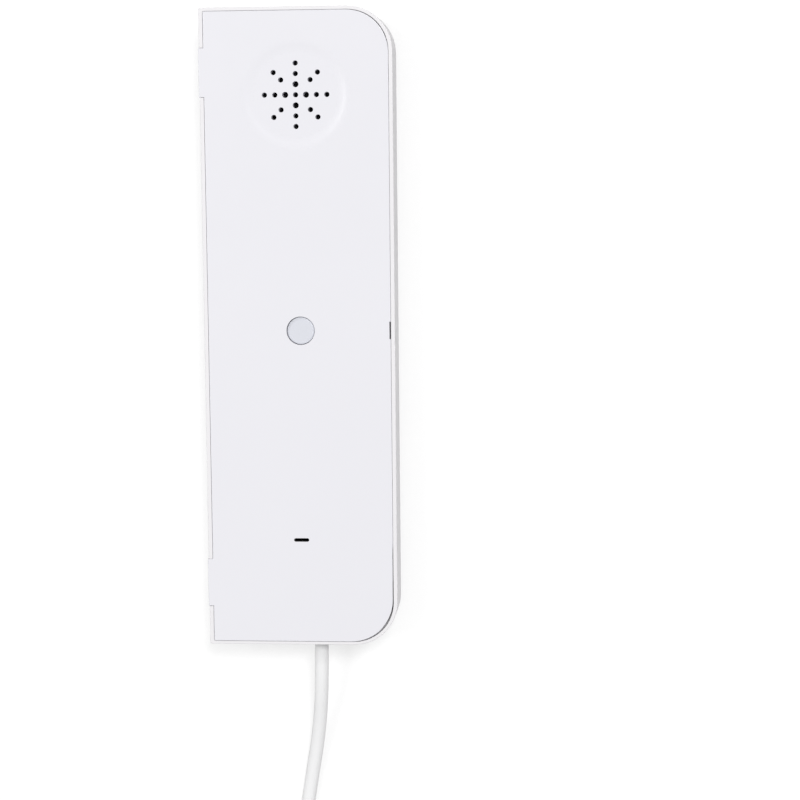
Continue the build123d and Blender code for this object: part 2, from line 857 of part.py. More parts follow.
def plug_body():
    """Clear body of the modular plug, with its cord socket and contact slots."""
    x0 = plug_x - plug_width / 2
    x1 = plug_x + plug_width / 2
    body = block(x0, x1, plug_nose, plug_back, 0, plug_height)
    body = fillet(body.edges(), plug_edge_round)
    half = latch_width / 2
    body += block(plug_x - half, plug_x + half, plug_nose + plug_edge_round, hinge_y, plug_height / 2,
                  hinge_z + latch_root_radius)
    groove = Cylinder(latch_root_radius + latch_gap, latch_width)
    body -= Pos(plug_x, hinge_y, hinge_z) * Rot(0, 90, 0) * groove
    socket_z = tail_route[-1][2]
    socket = Pos(plug_x, plug_back - plug_socket_depth / 2, socket_z) * Rot(90, 0, 0)
    body -= socket * Cylinder(plug_socket / 2, plug_socket_depth)
    width = contact_thickness / 2 + contact_slot_gap
    for x in contact_places():
        body -= block(x - width, x + width, plug_nose, plug_nose + contact_length + contact_slot_gap,
                      0, contact_height + contact_slot_gap)
    return body


def plug_contacts():
    """The four gilt contact blades."""
    y0 = plug_nose + plug_edge_round
    half = contact_thickness / 2
    return [
        block(x - half, x + half, y0, plug_nose + contact_length + contact_slot_gap,
              plug_edge_round, contact_height + contact_slot_gap)
        for x in contact_places()
    ]


def plug_latch():
    """Sprung latch lever, which hinges at the plug's nose."""
    wide = latch_width / 2
    thumb = latch_thumb_width / 2
    lever = make_face(
        Polyline(
            (-wide, 0), (wide, 0), (wide, latch_shoulder), (thumb, latch_shoulder),
            (thumb, latch_length), (-thumb, latch_length), (-thumb, latch_shoulder), (-wide, latch_shoulder),
            close=True,
        )
    )
    lever = extrude(lever, latch_thickness / 2, both=True)
    lever += Rot(0, 90, 0) * Cylinder(latch_root_radius, latch_width)
    return Pos(plug_x, hinge_y, hinge_z) * Rot(latch_angle, 0, 0) * lever


def clamp_screws():
    """The two screws of the earpiece clamp, heads to the back."""
    places = [Pos(x, ear_y, clamp_under) for x in (-clamp_screw_offset, clamp_screw_offset)]
    return [place * Rot(180, 0, 0) * screw() for place in places]


def board_screws():
    """The four screws of the circuit board."""
    return [Pos(x, y, board_top) * screw() for x, y in board_screw_places()]


nodes = {
    "rear_shell": rear_shell(),
    "face_plate": face_plate(),
    "earpiece_cloth": earpiece_cloth(),
    "earpiece_gasket": earpiece_gasket(),
    "earpiece_diaphragm": earpiece_diaphragm(),
    "earpiece_basket": earpiece_basket(),
    "earpiece_pot": earpiece_pot(),
    "earpiece_magnet": earpiece_magnet(),
    "earpiece_clamp": earpiece_clamp(),
    "clamp_screws": clamp_screws(),
    "microphone_boot": microphone_boot(),
    "microphone_felt": microphone_felt(),
    "microphone_capsule": microphone_capsule(),
    "push_button": push_button(),
    "switch_stem": switch_stem(),
    "button_spring": button_spring(),
    "switch_housing": switch_housing(),
    "circuit_board": circuit_board(),
    "board_screws": board_screws(),
    "earpiece_header": header(board_x, ear_header_end, 2),
    "microphone_header": header(board_x + microphone_header_dx, mouth_header_end, 2),
    "cord_header": header(board_x + cord_header_dx, mouth_header_end, 4),
    "upper_holding_magnet": holding_magnet(upper_holder_y),
    "lower_holding_magnet": holding_magnet(lower_holder_y),
    "earpiece_leads": earpiece_leads(),
    "microphone_leads": microphone_leads(),
    "cord_conductors": cord_conductors(),
    "cord_bush": cord_bush(),
    "cord": cord(),
    "cord_coil": cord_coil(),
    "cord_tail": cord_tail(),
    "coil_tie": coil_tie(),
    "plug_body": plug_body(),
    "plug_contacts": plug_contacts(),
    "plug_latch": plug_latch(),
}

os.makedirs("parts", exist_ok=True)
for name, form in nodes.items():
    shape = Compound(children=form) if isinstance(form, list) else form
    export_step(shape, f"parts/{name}.step")
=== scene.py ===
from math import cos, pi, radians, sin

import bpy
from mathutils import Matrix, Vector


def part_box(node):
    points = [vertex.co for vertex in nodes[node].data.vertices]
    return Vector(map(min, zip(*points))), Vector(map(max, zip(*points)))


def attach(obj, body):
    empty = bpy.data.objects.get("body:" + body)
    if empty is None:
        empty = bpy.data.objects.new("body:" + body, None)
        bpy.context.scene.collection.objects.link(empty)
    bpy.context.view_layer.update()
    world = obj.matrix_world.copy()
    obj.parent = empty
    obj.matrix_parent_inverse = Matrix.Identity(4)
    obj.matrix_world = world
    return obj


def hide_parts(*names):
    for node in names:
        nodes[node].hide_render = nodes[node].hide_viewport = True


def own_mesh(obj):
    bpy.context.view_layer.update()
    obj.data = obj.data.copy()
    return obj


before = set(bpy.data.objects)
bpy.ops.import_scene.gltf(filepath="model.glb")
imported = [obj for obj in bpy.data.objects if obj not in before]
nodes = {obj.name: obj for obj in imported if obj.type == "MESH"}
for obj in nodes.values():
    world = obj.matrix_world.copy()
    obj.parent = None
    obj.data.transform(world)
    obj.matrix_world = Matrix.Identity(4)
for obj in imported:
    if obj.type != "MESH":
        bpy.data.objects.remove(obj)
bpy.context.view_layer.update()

scene = bpy.context.scene
scene.view_settings.view_transform = "Standard"


# Camera. It looks down on the handset, which lies on its back, from a little
# to the right of the face and above its middle, through a long portrait lens.
# Its place and turn follow from the four edges of the face.
camera_place = (0.0759, 0.0466, 0.6164)
camera_turn = (radians(-6.39), radians(4.45), radians(-0.03))
sensor_width = 36.0  # in millimetres, as the lens
camera_lens = 93.51
camera_data = bpy.data.cameras.new("camera")
camera_data.sensor_width = sensor_width
camera_data.lens = camera_lens
camera = bpy.data.objects.new("camera", camera_data)
scene.collection.objects.link(camera)
camera.location = camera_place
camera.rotation_mode = "ZYX"
camera.rotation_euler = camera_turn
scene.camera = camera


# Table top. A white matt sheet that keeps the handset's soft shadow. To the
# camera it glows, so that it is plain white where nothing shades it.
table_size = 6.0
table_white = 0.50
table_glow = 0.56


def feed(tree, socket, value):
    """Gives a socket a number, or links another socket to it."""
    if isinstance(value, (int, float)):
        socket.default_value = value
    else:
        tree.links.new(value, socket)


def calc(tree, operation, first, second=0.0):
    """One sum on numbers or sockets."""
    node = tree.nodes.new("ShaderNodeMath")
    node.operation = operation
    feed(tree, node.inputs[0], first)
    feed(tree, node.inputs[1], second)
    return node.outputs[0]


def strength_by_path(tree, hidden, shown):
    """One strength for what the camera, a gloss or glass sees, another for bounced light."""
    path = tree.nodes.new("ShaderNodeLightPath")
    seen = calc(tree, "MAXIMUM", path.outputs["Is Camera Ray"], path.outputs["Is Glossy Ray"])
    seen = calc(tree, "MAXIMUM", seen, path.outputs["Is Transmission Ray"])
    level = tree.nodes.new("ShaderNodeMapRange")
    feed(tree, level.inputs["Value"], seen)
    feed(tree, level.inputs["To Min"], hidden)
    feed(tree, level.inputs["To Max"], shown)
    return level.outputs["Result"]


bpy.ops.object.select_all(action="DESELECT")
bpy.ops.mesh.primitive_plane_add(size=table_size, location=(0, 0, 0))
table = bpy.context.object
table.name = "table_top"
table_paint = bpy.data.materials.new("table_white")
table_paint.use_nodes = True
table_shader = table_paint.node_tree.nodes["Principled BSDF"]
table_shader.inputs["Base Color"].default_value = (table_white, table_white, table_white, 1)
table_shader.inputs["Roughness"].default_value = 1.0
table_shader.inputs["Specular IOR Level"].default_value = 0.0
table_shader.inputs["Emission Color"].default_value = (1, 1, 1, 1)
table_level = strength_by_path(table_paint.node_tree, 0.0, table_glow)
table_paint.node_tree.links.new(table_level, table_shader.inputs["Emission Strength"])
table.data.materials.append(table_paint)


# Studio. A pale room, brighter overhead than at its walls, gives a good half of
# the light, and a soft lamp overhead most of the rest. A second lamp, over the
# flat side, draws the dish and the button.
wall_light = 0.30
ceiling_light = 0.665
room_shown = 1.0
lamps = [
    # name, place, side, power
    ("top_lamp", (0.72, 1.16, 2.92), 0.8, 40.5),
    ("key_lamp", (-1.52, 0.50, 2.89), 1.12, 20.5),
]
room = bpy.data.worlds.new("studio")
room.use_nodes = True
room_back = room.node_tree.nodes["Background"]
room_back.inputs["Color"].default_value = (1, 1, 1, 1)
room_way = room.node_tree.nodes.new("ShaderNodeTexCoord").outputs["Generated"]
room_parts = room.node_tree.nodes.new("ShaderNodeSeparateXYZ")
room.node_tree.links.new(room_way, room_parts.inputs[0])
room_light = room.node_tree.nodes.new("ShaderNodeMapRange")
room.node_tree.links.new(room_parts.outputs["Z"], room_light.inputs["Value"])
room_light.inputs["To Min"].default_value = wall_light
room_light.inputs["To Max"].default_value = ceiling_light
room_level = strength_by_path(room.node_tree, room_light.outputs["Result"], room_shown)
room.node_tree.links.new(room_level, room_back.inputs["Strength"])
scene.world = room
for lamp_name, lamp_place, lamp_side, lamp_power in lamps:
    lamp_data = bpy.data.lights.new(lamp_name, "AREA")
    lamp_data.size = lamp_side
    lamp_data.energy = lamp_power
    lamp = bpy.data.objects.new(lamp_name, lamp_data)
    scene.collection.objects.link(lamp)
    lamp.location = lamp_place
    lamp.rotation_euler = (-Vector(lamp_place)).to_track_quat("-Z", "Y").to_euler()


# Rear shell. A tray of white ABS, injection moulded, with a fine spark-eroded
# grain outside. Hands polish its upper edge a little.
shell_white = (0.825, 0.812, 0.83)
shell_grain = 2600.0  # grains to the metre
cloud_scale = 22.0  # cloudy patches to the metre
rub_scale = 150.0  # rubbed patches to the metre
noise_middle = 0.5


def effect(name, inputs, outputs):
    """A node group with named float, colour or vector sockets, and its two ends."""
    kinds = {"float": "NodeSocketFloat", "colour": "NodeSocketColor", "vector": "NodeSocketVector"}
    group = bpy.data.node_groups.new(name, "ShaderNodeTree")
    for socket, kind in inputs:
        group.interface.new_socket(socket, in_out="INPUT", socket_type=kinds[kind])
    for socket, kind in outputs:
        group.interface.new_socket(socket, in_out="OUTPUT", socket_type=kinds[kind])
    return group, group.nodes.new("NodeGroupInput"), group.nodes.new("NodeGroupOutput")


def object_place(group):
    """Where a point lies on its object, in metres."""
    return group.nodes.new("ShaderNodeTexCoord").outputs["Object"]


def noise(group, vector, scale, detail):
    """A noise texture on a vector; its scale is a number or a socket."""
    texture = group.nodes.new("ShaderNodeTexNoise")
    for socket, value in (("Vector", vector), ("Scale", scale), ("Detail", detail)):
        feed(group, texture.inputs[socket], value)
    return texture.outputs["Fac"]


def shaded(group, colour, shade):
    """The colour made darker where the shade is high."""
    mix = group.nodes.new("ShaderNodeMix")
    mix.data_type = "RGBA"
    mix.blend_type = "MULTIPLY"
    mix.inputs["B"].default_value = (0, 0, 0, 1)
    group.links.new(shade, mix.inputs["Factor"])
    group.links.new(colour, mix.inputs["A"])
    return mix.outputs["Result"]


def moulded_effect():
    """Moulded plastic or rubber: cloudy tone, rubbed gloss and a fine grain."""
    group, given, made = effect(
        "moulded",
        [("Colour", "colour"), ("Roughness", "float"), ("Clouds", "float"), ("Rub", "float"),
         ("Grain", "float")],
        [("Colour", "colour"), ("Roughness", "float"), ("Height", "float")],
    )
    place = object_place(group)
    clouds = noise(group, place, cloud_scale, detail=2.0)
    clouds = calc(group, "MULTIPLY", clouds, given.outputs["Clouds"])
    group.links.new(shaded(group, given.outputs["Colour"], clouds), made.inputs["Colour"])
    rubbed = calc(group, "SUBTRACT", noise(group, place, rub_scale, detail=5.0), noise_middle)
    rubbed = calc(group, "MULTIPLY", rubbed, given.outputs["Rub"])
    roughness = calc(group, "ADD", given.outputs["Roughness"], rubbed)
    group.links.new(roughness, made.inputs["Roughness"])
    grain = noise(group, place, given.outputs["Grain"], detail=3.0)
    group.links.new(grain, made.inputs["Height"])
    return group


def finish(name, values, shader_values, bump=0.0, group=None):
    """A material whose colour, roughness and bump, in metres, come from an effect."""
    material = bpy.data.materials.new(name)
    material.use_nodes = True
    tree = material.node_tree
    shader = tree.nodes["Principled BSDF"]
    for socket, value in shader_values.items():
        shader.inputs[socket].default_value = value
    look = tree.nodes.new("ShaderNodeGroup")
    look.node_tree = group or moulded
    for socket, value in values.items():
        is_colour = look.inputs[socket].type == "RGBA"
        look.inputs[socket].default_value = (*value, 1) if is_colour else value
    tree.links.new(look.outputs["Colour"], shader.inputs["Base Color"])
    tree.links.new(look.outputs["Roughness"], shader.inputs["Roughness"])
    if bump:
        relief = tree.nodes.new("ShaderNodeBump")
        relief.inputs["Strength"].default_value = 1.0
        relief.inputs["Distance"].default_value = bump
        tree.links.new(look.outputs["Height"], relief.inputs["Height"])
        tree.links.new(relief.outputs["Normal"], shader.inputs["Normal"])
    return material


def dress(material, *names):
    """Gives CAD nodes their material."""
    for name in names:
        nodes[name].data.materials.clear()
        nodes[name].data.materials.append(material)


moulded = moulded_effect()
shell_finish = finish(
    "shell_abs",
    {"Colour": shell_white, "Roughness": 0.42, "Clouds": 0.025, "Rub": 0.10, "Grain": shell_grain},
    {"Specular IOR Level": 0.45},
    bump=0.000012,
)
dress(shell_finish, "rear_shell")


# Face plate. The same white ABS from a polished mould, snapped into the shell,
# with the sound holes, the microphone slot and two lugs over the flat side.
plate_white = (0.81, 0.805, 0.845)
plate_finish = finish(
    "plate_abs",
    {"Colour": plate_white, "Roughness": 0.22, "Clouds": 0.02, "Rub": 0.12, "Grain": 900.0},
    {"Specular IOR Level": 0.5},
    bump=0.000004,
)
slot_y = -0.06135
face_height = 0.020
above_face = 0.021
seam_level = 0.01999  # only what lies under the face gets the painted shade there
edge_level = 0.019999  # nearly all of the plate's round edge
# Painted shade: the slot and the seam by the mouth are painted darker where shadow falls into them.
painted_shade_places = [
    # painted shade in the slot's walls and on its brim
    {"Middle": (-0.00008, -0.06145, 0.0), "Half Length": 0.00172, "Reach": 0.00054,
     "Unshaded Above": above_face, "Depth": 0.97, "Fade": 0.2},
    # painted shade in the seam beside the mouth
    {"Middle": (0.0256, -0.0755, 0.0), "Half Length": 0.0, "Reach": 0.0135,
     "Unshaded Above": seam_level, "Depth": 0.9, "Fade": 0.5},
    # painted shade on the seam's edge near the corner
    {"Middle": (0.0270, -0.0808, 0.0), "Half Length": 0.0, "Reach": 0.0085,
     "Unshaded Above": edge_level, "Depth": 0.97, "Fade": 0.6},
]


def place_from(group, middle):
    """The X, Y and Z of a point on its object, measured from a middle."""
    centred = group.nodes.new("ShaderNodeVectorMath")
    centred.operation = "SUBTRACT"
    group.links.new(object_place(group), centred.inputs[0])
    group.links.new(middle, centred.inputs[1])
    parts = group.nodes.new("ShaderNodeSeparateXYZ")
    group.links.new(centred.outputs["Vector"], parts.inputs[0])
    return [parts.outputs[axis] for axis in "XYZ"]


def painted_shade_effect():
    """Painted shade: a darker colour near a short line along X and under a level; past its reach if
    Fade is negative.
    """
    group, given, made = effect(
        "painted_shade",
        [("Colour", "colour"), ("Middle", "vector"), ("Half Length", "float"), ("Reach", "float"),
         ("Unshaded Above", "float"), ("Depth", "float"), ("Fade", "float")],
        [("Colour", "colour")],
    )
    x, y, z = place_from(group, given.outputs["Middle"])
    past_end = calc(group, "SUBTRACT", calc(group, "ABSOLUTE", x), given.outputs["Half Length"])
    across = calc(group, "POWER", calc(group, "MAXIMUM", past_end, 0.0), 2.0)
    away = calc(group, "SQRT", calc(group, "ADD", across, calc(group, "MULTIPLY", y, y)))
    away = calc(group, "DIVIDE", away, given.outputs["Reach"])
    near = calc(group, "SUBTRACT", 1.0, calc(group, "MULTIPLY", away, away))
    near = calc(group, "DIVIDE", near, given.outputs["Fade"])
    near = calc(group, "MINIMUM", calc(group, "MAXIMUM", near, 0.0), 1.0)
    low = calc(group, "LESS_THAN", z, given.outputs["Unshaded Above"])
    shade = calc(group, "MULTIPLY", calc(group, "MULTIPLY", near, low), given.outputs["Depth"])
    group.links.new(shaded(group, given.outputs["Colour"], shade), made.inputs["Colour"])
    return group


painted_shade = painted_shade_effect()


def add_painted_shade(material, values):
    """Places the painted shade between a material's colour and its shader."""
    tree = material.node_tree
    colour = tree.nodes["Principled BSDF"].inputs["Base Color"]
    look = tree.nodes.new("ShaderNodeGroup")
    look.node_tree = painted_shade
    tree.links.new(colour.links[0].from_socket, look.inputs["Colour"])
    for socket, value in values.items():
        look.inputs[socket].default_value = value
    tree.links.new(look.outputs["Colour"], colour)


for painted_shade_place in painted_shade_places:
    add_painted_shade(plate_finish, painted_shade_place)
dress(plate_finish, "face_plate")


# Push button. A pale grey acetal cap with a satin top, which a finger presses
# to open the door, on a plunger of white acetal.
button_grey = (0.688, 0.701, 0.757)
button_painted_shadow = {  # painted shadow on the cap's upper left, cast by the well's edge
    "Middle": (0.0011, -0.0006, 0.0), "Half Length": 0.0, "Reach": 0.0037,
    "Unshaded Above": face_height, "Depth": 0.2, "Fade": -0.6,
}
button_finish = finish(
    "button_acetal",
    {"Colour": button_grey, "Roughness": 0.38, "Clouds": 0.03, "Rub": 0.14, "Grain": 3200.0},
    {"Specular IOR Level": 0.45},
    bump=0.000008,
)
stem_finish = finish(
    "stem_acetal",
    {"Colour": (0.80, 0.80, 0.78), "Roughness": 0.35, "Clouds": 0.03, "Rub": 0.08, "Grain": 1800.0},
    {"Specular IOR Level": 0.5},
    bump=0.000006,
)
add_painted_shade(button_finish, button_painted_shadow)
dress(button_finish, "push_button")
dress(stem_finish, "switch_stem")


# Cord. Four stranded wires in a round white PVC sheath, limp enough to lie on
# the table. Its spare length is wound in two layers of a flat coil and tied.
cord_diameter = 0.0041
cord_exit = (0.00465, -0.09265, 0.0130)
cord_route = [
    (0.00465, -0.09055, 0.0130),
    (0.00465, -0.1040, 0.0130),
    (0.00295, -0.1210, 0.0059),
    (-0.00025, -0.1385, 0.0021),
    (-0.0030, -0.1555, 0.0021),
    (-0.0120, -0.1725, 0.00275),
    (-0.0120, -0.1845, 0.00275),
]
tail_route = [
    (-0.0120, -0.2025, 0.00735),
    (-0.0126, -0.2165, 0.0033),
    (-0.0126, -0.2275, 0.0033),
]
curve_steps = 6  # between two points of a route
coil_outer_radius = 0.0287
coil_step = 0.0046
half_turns_in = 6
half_turns_out = 5
points_per_half_turn = 8
spline_outset = 1.0194  # a spline passes this much inside the points of a round turn


def coil_turns():
    """Points of the coil: a spiral in, up at the inmost half turn, and out again."""
    points = []
    x, y, z = cord_route[-1]
    y -= cord_diameter
    radius = coil_outer_radius
    for half_turn in range(half_turns_in + 1 + half_turns_out):
        way = 1 if half_turn % 2 == 0 else -1
        rise = coil_step if half_turn == half_turns_in else 0.0
        middle = x + way * radius
        for step in range(points_per_half_turn):
            angle = pi * (step + 0.5) / points_per_half_turn
            across = -way * radius * spline_outset * cos(angle)
            along = -way * radius * spline_outset * sin(angle)
            points.append((middle + across, y + along, z + rise * (1 - cos(angle)) / 2))
        x += way * 2 * radius
        z += rise
        radius += -coil_step / 2 if half_turn < half_turns_in else coil_step / 2
    points.append((x, y - cord_diameter, z))
    return points


def round_wire(name, points, diameter, facets=6):
    """A round cord or wire that lies along one smooth spline through the route's points."""
    curve = bpy.data.curves.new(name, "CURVE")
    curve.dimensions = "3D"
    curve.bevel_depth = diameter / 2
    curve.bevel_resolution = facets
    curve.use_fill_caps = True
    curve.resolution_u = curve_steps
    spline = curve.splines.new("NURBS")
    spline.points.add(len(points) - 1)
    for point, place in zip(spline.points, points):
        point.co = (*place, 1)
    spline.order_u = 3
    spline.use_endpoint_u = True
    wire = bpy.data.objects.new(name, curve)
    scene.collection.objects.link(wire)
    return wire


cord_white = (0.895, 0.895, 0.903)
exit_painted_shadow = {  # painted shadow of the housing on the cord where it leaves
    "Middle": (*cord_exit[:2], 0.0), "Half Length": 0.0, "Reach": 0.0078,
    "Unshaded Above": face_height, "Depth": 0.21, "Fade": 1.0,
}
cord_finish = finish(
    "cord_pvc",
    {"Colour": cord_white, "Roughness": 0.46, "Clouds": 0.05, "Rub": 0.14, "Grain": 1500.0},
    {"Specular IOR Level": 0.45, "Sheen Weight": 1.0, "Sheen Roughness": 0.9},
    bump=0.00001,
)
add_painted_shade(cord_finish, exit_painted_shadow)
handset_cord = round_wire("handset_cord", cord_route + coil_turns() + tail_route, cord_diameter)
handset_cord.data.materials.append(cord_finish)
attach(handset_cord, "handset")
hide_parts("cord", "cord_coil", "cord_tail")


# Bush. Soft white PVC moulded on the cord, held by its neck in the shell's
# slotted rib, so that a pull on the cord stays off the wires.
bush_finish = finish(
    "bush_pvc",
    {"Colour": (0.80, 0.80, 0.815), "Roughness": 0.5, "Clouds": 0.05, "Rub": 0.1, "Grain": 1700.0},
    {"Specular IOR Level": 0.4},
    bump=0.00001,
)
dress(bush_finish, "cord_bush")


# Strap. A white woven strip with hooks and loops, wrapped once round the coil's
# turns and pressed shut on itself, its free end lapped over the top.
strap_low, strap_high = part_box("coil_tie")
strap_corner = 0.0026
strap_thickness = 0.00054
strap_edge_round = 0.00012
strap_lap = 0.0005  # how far the lapped end stands off
lap_inset = 0.00312  # from the strap's side to where the lapped end starts
strap_threads = 1500.0  # threads to the metre
fluff_scale = 4200.0
fluff_height = 0.4  # against a thread's height of 1
fluff_roughness = 0.2
facing = 0.9  # a face faces along an axis if its normal has this share of it
leaning = 0.05  # a face leans up if its normal has this share of Z
crease = radians(40)  # edges that are sharper stay sharp


def woven_effect():
    """Cloth: threads at right angles that go round a line along Y, with fluff between."""
    group, given, made = effect(
        "woven",
        [("Colour", "colour"), ("Roughness", "float"), ("Shadow", "float"), ("Threads", "float"),
         ("Middle", "vector")],
        [("Colour", "colour"), ("Roughness", "float"), ("Height", "float")],
    )
    x, y, z = place_from(group, given.outputs["Middle"])
    around = calc(group, "SUBTRACT", calc(group, "ABSOLUTE", x), calc(group, "ABSOLUTE", z))
    warp = calc(group, "MULTIPLY", around, given.outputs["Threads"])
    weft = calc(group, "MULTIPLY", y, given.outputs["Threads"])
    warp = calc(group, "SINE", calc(group, "MULTIPLY", warp, 2 * pi))
    weft = calc(group, "SINE", calc(group, "MULTIPLY", weft, 2 * pi))
    thread = calc(group, "MULTIPLY", calc(group, "MULTIPLY", warp, weft), 0.5)
    thread = calc(group, "ADD", thread, 0.5)
    fluff = noise(group, object_place(group), fluff_scale, detail=4.0)
    fluff = calc(group, "MULTIPLY", fluff, fluff_height)
    height = calc(group, "ADD", thread, fluff)
    group.links.new(height, made.inputs["Height"])
    hollow = calc(group, "SUBTRACT", 1 + fluff_height, height)
    shadow = calc(group, "MULTIPLY", hollow, given.outputs["Shadow"])
    group.links.new(shaded(group, given.outputs["Colour"], shadow), made.inputs["Colour"])
    fuzz = calc(group, "MULTIPLY", fluff, fluff_roughness)
    roughness = calc(group, "ADD", given.outputs["Roughness"], fuzz)
    group.links.new(roughness, made.inputs["Roughness"])
    return group


def take(thing, kind, wanted):
    """Selects only the faces or edges that a rule picks, and stays in edit mode."""
    bpy.ops.object.select_all(action="DESELECT")
    thing.select_set(True)
    bpy.context.view_layer.objects.active = thing
    bpy.ops.object.mode_set(mode="EDIT")
    bpy.ops.mesh.select_all(action="DESELECT")
    bpy.ops.object.mode_set(mode="OBJECT")
    mesh = thing.data
    picked = [part for part in getattr(mesh, kind) if wanted(part)]
    for part in picked:
        part.select = True
        for corner in part.vertices:
            mesh.vertices[corner].select = True
    bpy.ops.object.mode_set(mode="EDIT")
    bpy.ops.mesh.select_mode(type="FACE" if kind == "polygons" else "EDGE")


def run(thing, edge):
    """The way from one end of an edge to the other."""
    first, last = (thing.data.vertices[corner].co for corner in edge.vertices)
    return last - first


def apply(thing, kind, **settings):
    """Adds one modifier and applies it."""
    modifier = thing.modifiers.new(kind.lower(), kind)
    for setting, value in settings.items():
        setattr(modifier, setting, value)
    bpy.ops.object.modifier_apply(modifier=modifier.name)


woven = woven_effect()
strap_size = strap_high - strap_low - Vector((2 * strap_lap, 0, strap_lap))
strap_middle = (strap_low + strap_high - Vector((0, 0, strap_lap))) / 2
bpy.ops.object.select_all(action="DESELECT")
bpy.ops.mesh.primitive_cube_add(size=1, location=strap_middle, scale=strap_size)
strap = bpy.context.object
strap.name = "coil_strap"
bpy.ops.object.transform_apply(location=True, rotation=False, scale=True)
take(strap, "edges", lambda edge: abs(run(strap, edge).y) > strap_size.y / 2)
bpy.ops.mesh.bevel(offset=strap_corner, segments=6)
bpy.ops.object.mode_set(mode="OBJECT")
take(strap, "polygons", lambda face: abs(face.normal.y) > facing)
bpy.ops.mesh.delete(type="FACE")
bpy.ops.object.mode_set(mode="OBJECT")
lap_from = strap_low.x + lap_inset
take(strap, "polygons", lambda face: face.normal.z > leaning and face.center.x > lap_from)
bpy.ops.mesh.duplicate()
bpy.ops.transform.shrink_fatten(value=strap_lap)
bpy.ops.object.mode_set(mode="OBJECT")
bpy.ops.object.shade_smooth_by_angle(angle=crease)
apply(strap, "SOLIDIFY", thickness=strap_thickness, offset=-1.0)
apply(strap, "BEVEL", width=strap_edge_round, segments=2, limit_method="ANGLE")
strap_finish = finish(
    "strap_weave",
    {"Colour": (0.80, 0.80, 0.81), "Roughness": 0.75, "Shadow": 0.28, "Threads": strap_threads,
     "Middle": tuple(strap_middle)},
    {"Sheen Weight": 0.3, "Specular IOR Level": 0.2},
    bump=0.00008,
    group=woven,
)
strap.data.materials.append(strap_finish)
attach(strap, "handset")
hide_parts("coil_tie")


# Plug. A four-way modular plug of clear polycarbonate, with gilt blades pressed
# through its slots and a sprung latch lever that a thumb pushes down.
streak_roughness = 0.18
spot_scale = 420.0
spot_roughness = 0.4
plug_finish = finish(
    "plug_polycarbonate",
    {"Colour": (0.93, 0.95, 0.96), "Roughness": 0.07, "Clouds": 0.03, "Rub": 0.08},
    {"Transmission Weight": 1.0, "IOR": 1.58},
)
dress(plug_finish, "plug_body", "plug_latch")


def metal_effect():
    """Drawn, rolled or plated metal: streaks along one way and dull spots."""
    group, given, made = effect(
        "metal",
        [("Colour", "colour"), ("Roughness", "float"), ("Dull", "float"), ("Grain", "float"),
         ("Stretch", "vector")],
        [("Colour", "colour"), ("Roughness", "float"), ("Height", "float")],
    )
    place = object_place(group)
    drawn = group.nodes.new("ShaderNodeVectorMath")
    drawn.operation = "MULTIPLY"
    group.links.new(place, drawn.inputs[0])
    group.links.new(given.outputs["Stretch"], drawn.inputs[1])
    streaks = noise(group, drawn.outputs["Vector"], given.outputs["Grain"], detail=4.0)
    spots = noise(group, place, spot_scale, detail=3.0)
    dull = calc(group, "MULTIPLY", spots, given.outputs["Dull"])
    group.links.new(shaded(group, given.outputs["Colour"], dull), made.inputs["Colour"])
    streaky = calc(group, "MULTIPLY", streaks, streak_roughness)
    spotty = calc(group, "MULTIPLY", dull, spot_roughness)
    roughness = calc(group, "ADD", given.outputs["Roughness"], streaky)
    group.links.new(calc(group, "ADD", roughness, spotty), made.inputs["Roughness"])
    group.links.new(streaks, made.inputs["Height"])
    return group


metal = metal_effect()


def metal_finish(name, values, bump):
    """A metal material; its streaks are long where Stretch is under 1."""
    return finish(name, values, {"Metallic": 1.0}, bump=bump, group=metal)


gilt_finish = metal_finish(
    "contact_gilt",
    {"Colour": (0.86, 0.64, 0.27), "Roughness": 0.16, "Dull": 0.25, "Grain": 2500.0,
     "Stretch": (1, 0.15, 1)},
    bump=0.000002,
)
dress(gilt_finish, "plug_contacts")


# Earpiece. A domed film with its voice coil hangs in a pressed steel basket,
# over a magnet in a steel pot. A foam ring seals it, and stretched black cloth
# behind the sound holes keeps dust out.
cell_roughness = 0.15
disc_sides = 96
soft_edge_share = 0.3  # of a soft disc's thickness
soft_crease = radians(50)
lump_size = 0.0011
seal_hole = 0.0117  # radius


def cells_effect():
    """Closed-cell foam, felt or coarse sintered grain: cells with dark hollows."""
    group, given, made = effect(
        "cells",
        [("Colour", "colour"), ("Roughness", "float"), ("Shadow", "float"), ("Cells", "float")],
        [("Colour", "colour"), ("Roughness", "float"), ("Height", "float")],
    )
    texture = group.nodes.new("ShaderNodeTexVoronoi")
    group.links.new(object_place(group), texture.inputs["Vector"])
    group.links.new(given.outputs["Cells"], texture.inputs["Scale"])
    height = texture.outputs["Distance"]
    shadow = calc(group, "MULTIPLY", height, given.outputs["Shadow"])
    group.links.new(shaded(group, given.outputs["Colour"], shadow), made.inputs["Colour"])
    wall = calc(group, "MULTIPLY", height, cell_roughness)
    roughness = calc(group, "ADD", given.outputs["Roughness"], wall)
    group.links.new(roughness, made.inputs["Roughness"])
    group.links.new(height, made.inputs["Height"])
    return group


cells = cells_effect()
cloth_finish = finish(
    "acoustic_cloth",
    {"Colour": (0.02, 0.02, 0.022), "Roughness": 0.9, "Shadow": 0.6, "Threads": 2600.0},
    {"Specular IOR Level": 0.1, "Sheen Weight": 0.1},
    bump=0.00008,
    group=woven,
)
foam_finish = finish(
    "gasket_foam",
    {"Colour": (0.035, 0.035, 0.035), "Roughness": 0.8, "Shadow": 0.5, "Cells": 3000.0},
    {"Specular IOR Level": 0.2},
    bump=0.00006,
    group=cells,
)
film_finish = finish(
    "diaphragm_film",
    {"Colour": (0.62, 0.52, 0.30), "Roughness": 0.18, "Clouds": 0.2, "Rub": 0.15, "Grain": 500.0},
    {"Specular IOR Level": 0.6},
    bump=0.00001,
)
steel_finish = metal_finish(
    "plated_steel",
    {"Colour": (0.62, 0.63, 0.65), "Roughness": 0.22, "Dull": 0.35, "Grain": 900.0,
     "Stretch": (0.2, 1, 1)},
    bump=0.000004,
)
